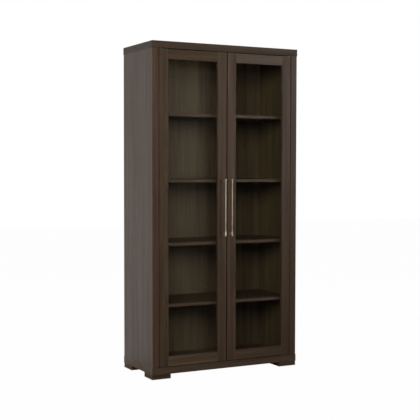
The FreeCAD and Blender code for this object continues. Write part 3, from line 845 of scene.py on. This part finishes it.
def post(low, high, _, pull):
    """A post that is flared a little where it meets the door."""
    radius = (high.x - low.x) / 2
    reach = high.y - low.y
    flare = pull.foot_flare
    profile = [(0.0, 0.0), (radius + flare, 0.0)]
    profile += [(radius + flare * (1 - math.sin(turn)), FLARE_START + flare * 2 * (1 - math.cos(turn)))
                for turn in map(math.radians, (0, 22, 45, 67, 90))]
    profile += [(radius, reach), (0.0, reach)]
    foot = ((low.x + high.x) / 2, high.y, (low.z + high.z) / 2)
    return placed(turned(profile, pull.segments), foot, -Y)


class BOOKCASE_OT_pull_bars(Operator):
    """Turn the slim bar of each pull"""
    bl_idname = "bookcase.pull_bars"
    bl_label = "Pull Bars"

    def execute(self, context):
        pull_pieces("bar", bar, BAR_PAINTED_SHADES)
        return {"FINISHED"}


class BOOKCASE_OT_pull_sleeves(Operator):
    """Turn the thicker sleeves at the ends of each bar"""
    bl_idname = "bookcase.pull_sleeves"
    bl_label = "Pull Sleeves"

    def execute(self, context):
        pull_pieces("sleeves", sleeve, SLEEVE_PAINTED_SHADES)
        return {"FINISHED"}


class BOOKCASE_OT_pull_posts(Operator):
    """Turn the posts that carry each bar"""
    bl_idname = "bookcase.pull_posts"
    bl_label = "Pull Posts"

    def execute(self, context):
        pull_pieces("posts", post, across=BRUSHED_OUT)
        return {"FINISHED"}


# ---- screws
SCREW_FACETS = 36
THREAD_FACETS = 14
SCREW_TURN = 2.4             # turn of each screw's recess from the last one's
SUNK = 0.08 * MM             # depth of a flush head below its seat's face
SCREWS = {           # node: body, piece, way from the point to the head, head's height and shank's
                     # radius in mm, and 1 for a round head or 0 for a flush one
    "back_panel_screws": ("carcass", "back_screws", Y, 2.0, 1.5, 0.0),
    "foot_screws": ("carcass", "foot_bolts", -Z, 3.0, 2.5, 0.0),
    "catch_screws": ("carcass", "catch_pan_screws", -Z, 1.8, 1.5, 1.0),
    "left_door_handle_screws": ("left_door", "left_pull_screws", Y, 2.5, 2.0, 1.0),
    "right_door_handle_screws": ("right_door", "right_pull_screws", Y, 2.5, 2.0, 1.0),
    "pivot_plate_screws": ("carcass", "hinge_screws", None, 1.4, 1.5, 0.0),
}


def driven_screw(head, head_height, shank, reach, dome):
    """Screw along -Z, its head's face at 0: a cross recess, a round head, a thread and a point."""
    neck = shank * 0.80
    rim = min(head_height * 0.25, 0.4 * MM)
    under = -head_height
    tip = -reach + shank * 1.6
    profile = rounded((head - rim, -rim), rim, 90, 0)
    profile += [(head, under + rim / 2), (head - rim / 2, under), (shank, under)]
    profile += [(shank, under - shank), (neck, under - 1.4 * shank), (neck, tip), (0.0, -reach)]
    made = turned(profile, SCREW_FACETS)

    # the recess: a cross is joined to the head's open rim, filled, and its floor let in
    rim_edges = [edge for edge in made.edges if edge.is_boundary]
    arm, half = head * 0.58, head * 0.15
    corners = [made.verts.new((*(Matrix.Rotation(-turn * math.pi / 2, 2) @ Vector(point)), 0.0))
               for turn in range(4) for point in ((half, arm), (half, half), (arm, half))]
    cross = [made.edges.new(pair) for pair in zip(corners, corners[1:] + corners[:1])]
    cut = bmesh.ops.subdivide_edges(made, edges=cross, cuts=SCREW_FACETS // 12 - 1)
    cross = list({item for item in cut["geom"] if isinstance(item, bmesh.types.BMEdge)})
    bmesh.ops.bridge_loops(made, edges=rim_edges + cross)
    floor = bmesh.ops.contextual_create(made, geom=cross)["faces"]
    sunk = bmesh.ops.extrude_face_region(made, geom=floor)["geom"]
    bottom = [item for item in sunk if isinstance(item, bmesh.types.BMVert)]
    bmesh.ops.delete(made, geom=floor, context="FACES_ONLY")
    for vert in bottom:
        vert.co.z = -head_height * 0.62
        vert.co.xy *= 0.6
    for vert in made.verts:
        if vert.co.z > -rim * 0.5:
            vert.co.z -= dome * min(1.0, vert.co.xy.length / head) ** 2

    # the thread: a wedge spun up the shank
    pitch = shank * 0.85
    ridge = [made.verts.new((radius, 0.0, tip + pitch * rise))
             for radius, rise in ((neck * 0.97, 0.0), (shank, 0.3), (neck * 0.97, 0.6))]
    wedge = made.faces.new(ridge)
    turns = max(1.0, (under - 2.6 * shank - tip) / pitch)
    bmesh.ops.spin(made, geom=[wedge] + ridge + list(wedge.edges), cent=ORIGIN, axis=Z,
                   dvec=(0.0, 0.0, pitch / THREAD_FACETS), angle=math.tau * turns,
                   steps=int(turns * THREAD_FACETS), use_merge=False)
    bmesh.ops.recalc_face_normals(made, faces=made.faces)
    return made


def screw(low, high, number, way, head_height, shank, rounding):
    if way is None:
        way = -Z if low.z > (CAD_BOX[0][2] + CAD_BOX[1][2]) / 2 else Z
    size = high - low
    reach = abs(size.dot(way))
    head = max(value for axis, value in zip((X, Y, Z), size) if abs(axis.dot(way)) < 0.5) / 2
    head *= 0.98 if rounding else 0.925
    head_height *= MM
    made = driven_screw(head, head_height, shank * MM * 0.95, reach, head_height * 0.45 * rounding)
    top = (low + high) / 2 + way * (reach / 2 - (0.0 if rounding else SUNK))
    return placed(made, top, way, number * SCREW_TURN)


class BOOKCASE_OT_screws(Operator):
    """Make the screws with their cross recesses and threads"""
    bl_idname = "bookcase.screws"
    bl_label = "Screws"

    def execute(self, context):
        for node, (body, name, *form) in SCREWS.items():
            made = merged(screw(*box, number, *form) for number, box in enumerate(solids(node)))
            new_piece(name, made, steel(f"Steel {name}"), body, "zinc_steel", node)
        return {"FINISHED"}


# ---- fittings
PIN_STEP = 0.15 * MM         # length of the edge where a pin leaves its hole
PIN_DOME = 0.8 * MM          # rounding of its ends


def shelf_pin(low, high, inner, rest):
    """A pin that is flat at the height rest, past its panel's face at inner."""
    radius = (high.y - low.y) / 2
    on_left = low.x < 0
    start = Vector((low.x if on_left else high.x, (low.y + high.y) / 2, high.z - radius))
    reach = high.x - low.x
    hidden = abs(start.x) - inner
    profile = [(0.0, 0.0), (radius - PIN_DOME, 0.0), (radius, PIN_DOME), (radius, hidden),
               (radius, hidden + PIN_STEP)]
    profile += rounded((radius - PIN_DOME, reach - PIN_DOME), PIN_DOME, 0, 90) + [(0.0, reach)]
    made = placed(turned(profile, 32), start, X if on_left else -X)
    for vert in made.verts:
        if abs(vert.co.x) < inner - PIN_STEP / 2:
            vert.co.z = min(vert.co.z, rest)
    return made


class BOOKCASE_OT_shelf_pins(Operator):
    """Turn the steel shelf pins, each with a flat where the shelf rests"""
    bl_idname = "bookcase.shelf_pins"
    bl_label = "Shelf Pins"

    def execute(self, context):
        inner = abs(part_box("left_side_panel")[1].x)
        for number in range(1, 5):
            node = f"shelf_pins_{number}"
            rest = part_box(f"shelf_{number}")[0].z
            new_piece(f"steel_shelf_pins_{number}", each_solid(node, shelf_pin, inner, rest),
                      steel(f"Steel shelf pins {number}"), "carcass", "zinc_steel", node)
        return {"FINISHED"}


BORE = 3.05 * MM             # radius of the washers' and bushes' bore, round a 6 mm pin


def ring(low, high, share, rim):
    """A ring with chamfered rims, its outer radius a share of the box's."""
    outer = (high.y - low.y) / 2 * share
    height = high.z - low.z
    profile = [(BORE, rim), (BORE + rim, 0.0), (outer - rim, 0.0), (outer, rim), (outer, height - rim),
               (outer - rim, height), (BORE + rim, height), (BORE, height - rim), (BORE, rim)]
    return placed(turned(profile, 40), (*((low + high) / 2).xy, low.z))


class BOOKCASE_OT_hinges(Operator):
    """Finish the pivot plates, and turn their washers and bushes"""
    bl_idname = "bookcase.hinges"
    bl_label = "Pivot Hinges"

    def execute(self, context):
        for side in SIDES:
            for level in ("bottom", "top"):
                node = f"{side}_{level}_pivot"
                finish_node(node, steel(f"Steel {node}", DRAWN_ACROSS))
            node = f"{side}_door_pivot_bushes"
            new_piece(f"{side}_brass_bushes", each_solid(node, ring, 0.92, 0.4 * MM),
                      brass(f"Brass {side} bushes"), f"{side}_door", "satin_brass", node)
        new_piece("thrust_washers", each_solid("pivot_washers", ring, 1.0, 0.25 * MM),
                  nylon("Nylon washers"), "carcass", "black_nylon", "pivot_washers")
        return {"FINISHED"}


def runs_through(edge):
    """True for an edge along Y, through a plate's thickness."""
    return abs((edge.verts[0].co - edge.verts[1].co).normalized().y) > 0.9


class BOOKCASE_OT_catch(Operator):
    """Shape the double catch, its magnets and the strike plates"""
    bl_idname = "bookcase.catch"
    bl_label = "Magnetic Catch"

    def execute(self, context):
        finish_node("catch_housing", nylon("Nylon catch"))
        magnets = merged(soften(squared(*box), 0.3 * MM) for box in solids("catch_magnets"))
        new_piece("catch_pole_plates", magnets, steel("Steel magnets", shade=0.45), "carcass",
                  "zinc_steel", "catch_magnets")
        for side in SIDES:
            self.strike(side)
        return {"FINISHED"}

    def strike(self, side):
        """A plate with round corners on the door frame's back, and the stud that holds it."""
        node = f"{side}_door_strike_plate"
        low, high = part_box(node)
        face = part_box(f"{side}_door_top_rail")[1].y
        plate = soften(squared(Vector((low.x, face, low.z)), high), 1.6 * MM, 4, runs_through)
        soften(plate, 0.25 * MM)
        radius = 1.9 * MM
        stud = turned([(0.0, 0.0), (radius, 0.0), (radius, face - low.y), (0.0, face - low.y)], 24)
        foot = ((low.x + high.x) / 2, low.y, (low.z + high.z) / 2)
        new_piece(f"{side}_strike", merged([plate, placed(stud, foot, Y)]), steel(f"Steel {side} strike"),
                  f"{side}_door", "zinc_steel", node)


def glide(low, high):
    radius = (high.x - low.x) / 2
    height = high.z - low.z
    rim = 0.7 * MM
    profile = [(0.0, 0.0)] + rounded((radius - rim, rim), rim, -90, 0) + [(radius, height), (0.0, height)]
    return placed(turned(profile, 64), (*((low + high) / 2).xy, low.z))


class BOOKCASE_OT_glides(Operator):
    """Turn the glides under the feet"""
    bl_idname = "bookcase.glides"
    bl_label = "Foot Glides"

    def execute(self, context):
        new_piece("nylon_glides", each_solid("foot_glides", glide), nylon("Nylon glides"), "carcass",
                  "black_nylon", "foot_glides")
        return {"FINISHED"}


# ---- stage
CAMERA_PLACE = (-2.8264, -5.4312, 1.2595)
CAMERA_YAW = math.radians(27.394)
CAMERA_PITCH = math.radians(-2.513)
CAMERA_ROLL = math.radians(0.094)
LENS_MM = 83.47
SENSOR_MM = 36.0
KEY = ((3.73726, -4.43830, 1.93), (-1.2, -0.2, 2.1), (1.0, 1.4))      # a lamp's place, target and size
FILL = ((-2.6, -4.5, 2.6), (0.0, -0.2, 1.9), (3.2, 1.7))
LEFT = ((-4.4, 0.8, 1.3), (-0.5, 0.0, 1.0), (2.4, 2.4))
BEHIND = ((1.6, 4.2, 2.2), (0.0, 0.2, 1.0), (2.4, 2.0))
ROOM_SIZE = 14.0
ROOM_EDGE = (-0.35, 0.55)    # part of a way back at the room's end, and at the pale wall's start
CONTACT_REACH = 4 * MM       # of the dark line round a foot
FLOOR_DIM_REACH = 0.22       # of the case's shade on the floor that gloss shows


def place_camera():
    data = bpy.data.cameras.new("Camera")
    data.lens = LENS_MM
    data.sensor_width = SENSOR_MM
    data.sensor_fit = "HORIZONTAL"
    camera = add_object("Camera", data)
    camera.matrix_world = (Matrix.Translation(CAMERA_PLACE) @ Matrix.Rotation(-CAMERA_YAW, 4, "Z")
                           @ Matrix.Rotation(math.pi / 2 + CAMERA_PITCH, 4, "X")
                           @ Matrix.Rotation(CAMERA_ROLL, 4, "Z"))
    bpy.context.scene.camera = camera


def area_lamp(name, place, target, size, watts, spread=math.pi):
    data = bpy.data.lights.new(name, "AREA")
    data.shape = "RECTANGLE"
    data.size, data.size_y = size
    data.energy = watts
    data.spread = spread
    lamp = add_object(name, data)
    lamp.location = place
    lamp.rotation_euler = (Vector(target) - Vector(place)).to_track_quat("-Z", "Y").to_euler()


def ray_masks(tree):
    """Masks of rays that show the background, straight or through a pane, and of mirrored ones."""
    rays = flows(tree.nodes.new("ShaderNodeLightPath"))
    straight = calc("LESS_THAN", rays["Glossy Depth"], 0.5)
    through = rays["Is Transmission Ray"] * straight
    inside = rays["Is Transmission Ray"] - through
    return (calc("MAXIMUM", rays["Is Camera Ray"], through),
            calc("MAXIMUM", rays["Is Glossy Ray"], inside))


def room_level(way_back):
    """What gloss meets: a dim room in front of the case, and a pale wall and floor behind it."""
    studio = bpy.context.scene.bookcase_studio
    return ramp(way_back, *ROOM_EDGE, studio.room, studio.cyclorama)


def make_world():
    """Even dim light for what is lit, a white background for what is seen, and a room for gloss."""
    ambient = bpy.context.scene.bookcase_studio.ambient
    world = bpy.data.worlds.new("Studio")
    world.use_nodes = True
    tree = world.node_tree
    way = split(source(tree, "ShaderNodeTexCoord", "Generated"))
    seen, mirrored = ray_masks(tree)
    strength = mirrored.mul_add(room_level(way[1]) - ambient, ambient)
    background = tree.nodes["Background"].inputs
    put(background["Color"], rgba(EVEN))
    put(background["Strength"], calc("MAXIMUM", strength, seen))
    bpy.context.scene.world = world


def floor_shades(place):
    """Shades of the floor: 0 under a foot as it is seen, and dim round the case as gloss shows it."""
    to_foot = ROOM_SIZE
    for side in SIDES:
        for end in ("front", "back"):
            low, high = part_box(f"{side}_{end}_foot")
            low.z = -high.z
            to_foot = calc("MINIMUM", past_box(place, low, high), to_foot)
    low, high = (Vector(corner) for corner in CAD_BOX)
    low.z = -high.z
    to_case = past_box(place, low, high)
    return ramp(to_foot, 0.0, CONTACT_REACH), ramp(to_case, 0.0, FLOOR_DIM_REACH)


def make_floor():
    """A pale floor that looks white where nothing shades it, and keeps a faint contact shadow."""
    studio = bpy.context.scene.bookcase_studio
    made = bmesh.new()
    bmesh.ops.create_grid(made, x_segments=1, y_segments=1, size=ROOM_SIZE)
    mesh = to_mesh("Floor", made)
    material, place = new_material("Floor")
    seen, mirrored = ray_masks(place.tree)
    contact, dim = floor_shades(place)
    seen = seen * contact
    toward = split(source(place.tree, "ShaderNodeNewGeometry", "Incoming"))[1]
    level = room_level(toward * -1.0) * dim
    matt = flow("ShaderNodeBsdfDiffuse", {"Color": rgba(studio.floor)}, tree=place.tree)
    glow = flow("ShaderNodeEmission", {"Strength": calc("MAXIMUM", level, seen)})
    share = calc("MAXIMUM", seen * studio.floor_glow, mirrored)
    mesh.materials.append(show(material, flow("ShaderNodeMixShader", {0: share, 1: matt, 2: glow})))
    floor = add_object("Floor", mesh)


class BOOKCASE_OT_stage(Operator):
    """Set up the floor, the lamps, the world and the camera"""
    bl_idname = "bookcase.stage"
    bl_label = "Studio"

    def execute(self, context):
        studio = context.scene.bookcase_studio
        context.scene.view_settings.view_transform = "Standard"
        place_camera()
        make_world()
        make_floor()
        area_lamp("Key", *KEY, studio.key_power, studio.key_spread)
        area_lamp("Fill", *FILL, studio.fill_power, studio.fill_spread)
        area_lamp("Left", *LEFT, studio.left_power)
        area_lamp("Behind", *BEHIND, studio.behind_power)
        return {"FINISHED"}


# ---- add-on
OPERATORS = (
    BOOKCASE_OT_stage,
    BOOKCASE_OT_case_boards,
    BOOKCASE_OT_solid_strips,
    BOOKCASE_OT_dowels,
    BOOKCASE_OT_panes,
    BOOKCASE_OT_pull_bars,
    BOOKCASE_OT_pull_sleeves,
    BOOKCASE_OT_pull_posts,
    BOOKCASE_OT_screws,
    BOOKCASE_OT_shelf_pins,
    BOOKCASE_OT_hinges,
    BOOKCASE_OT_catch,
    BOOKCASE_OT_glides,
)


class BOOKCASE_PT_pieces(Panel):
    """Lists the settings and the pieces of the bookcase"""
    bl_label = "Glazed Bookcase"
    bl_idname = "BOOKCASE_PT_pieces"
    bl_space_type = "VIEW_3D"
    bl_region_type = "UI"
    bl_category = "Bookcase"

    def draw(self, context):
        for attribute, group in SETTINGS.items():
            box = self.layout.box()
            for name in group.__annotations__:
                box.prop(getattr(context.scene, attribute), name)
        column = self.layout.column()
        for operator in OPERATORS:
            column.operator(operator.bl_idname)


CLASSES = tuple(SETTINGS.values()) + OPERATORS + (BOOKCASE_PT_pieces,)


def register():
    for item in CLASSES:
        bpy.utils.register_class(item)
    for attribute, group in SETTINGS.items():
        setattr(bpy.types.Scene, attribute, PointerProperty(type=group))


def unregister():
    for attribute in SETTINGS:
        delattr(bpy.types.Scene, attribute)
    for item in reversed(CLASSES):
        bpy.utils.unregister_class(item)


def main():
    register()
    for operator in OPERATORS:
        group, name = operator.bl_idname.split(".")
        getattr(getattr(bpy.ops, group), name)()
    bpy.context.view_layer.update()


if __name__ == "__main__":
    main()
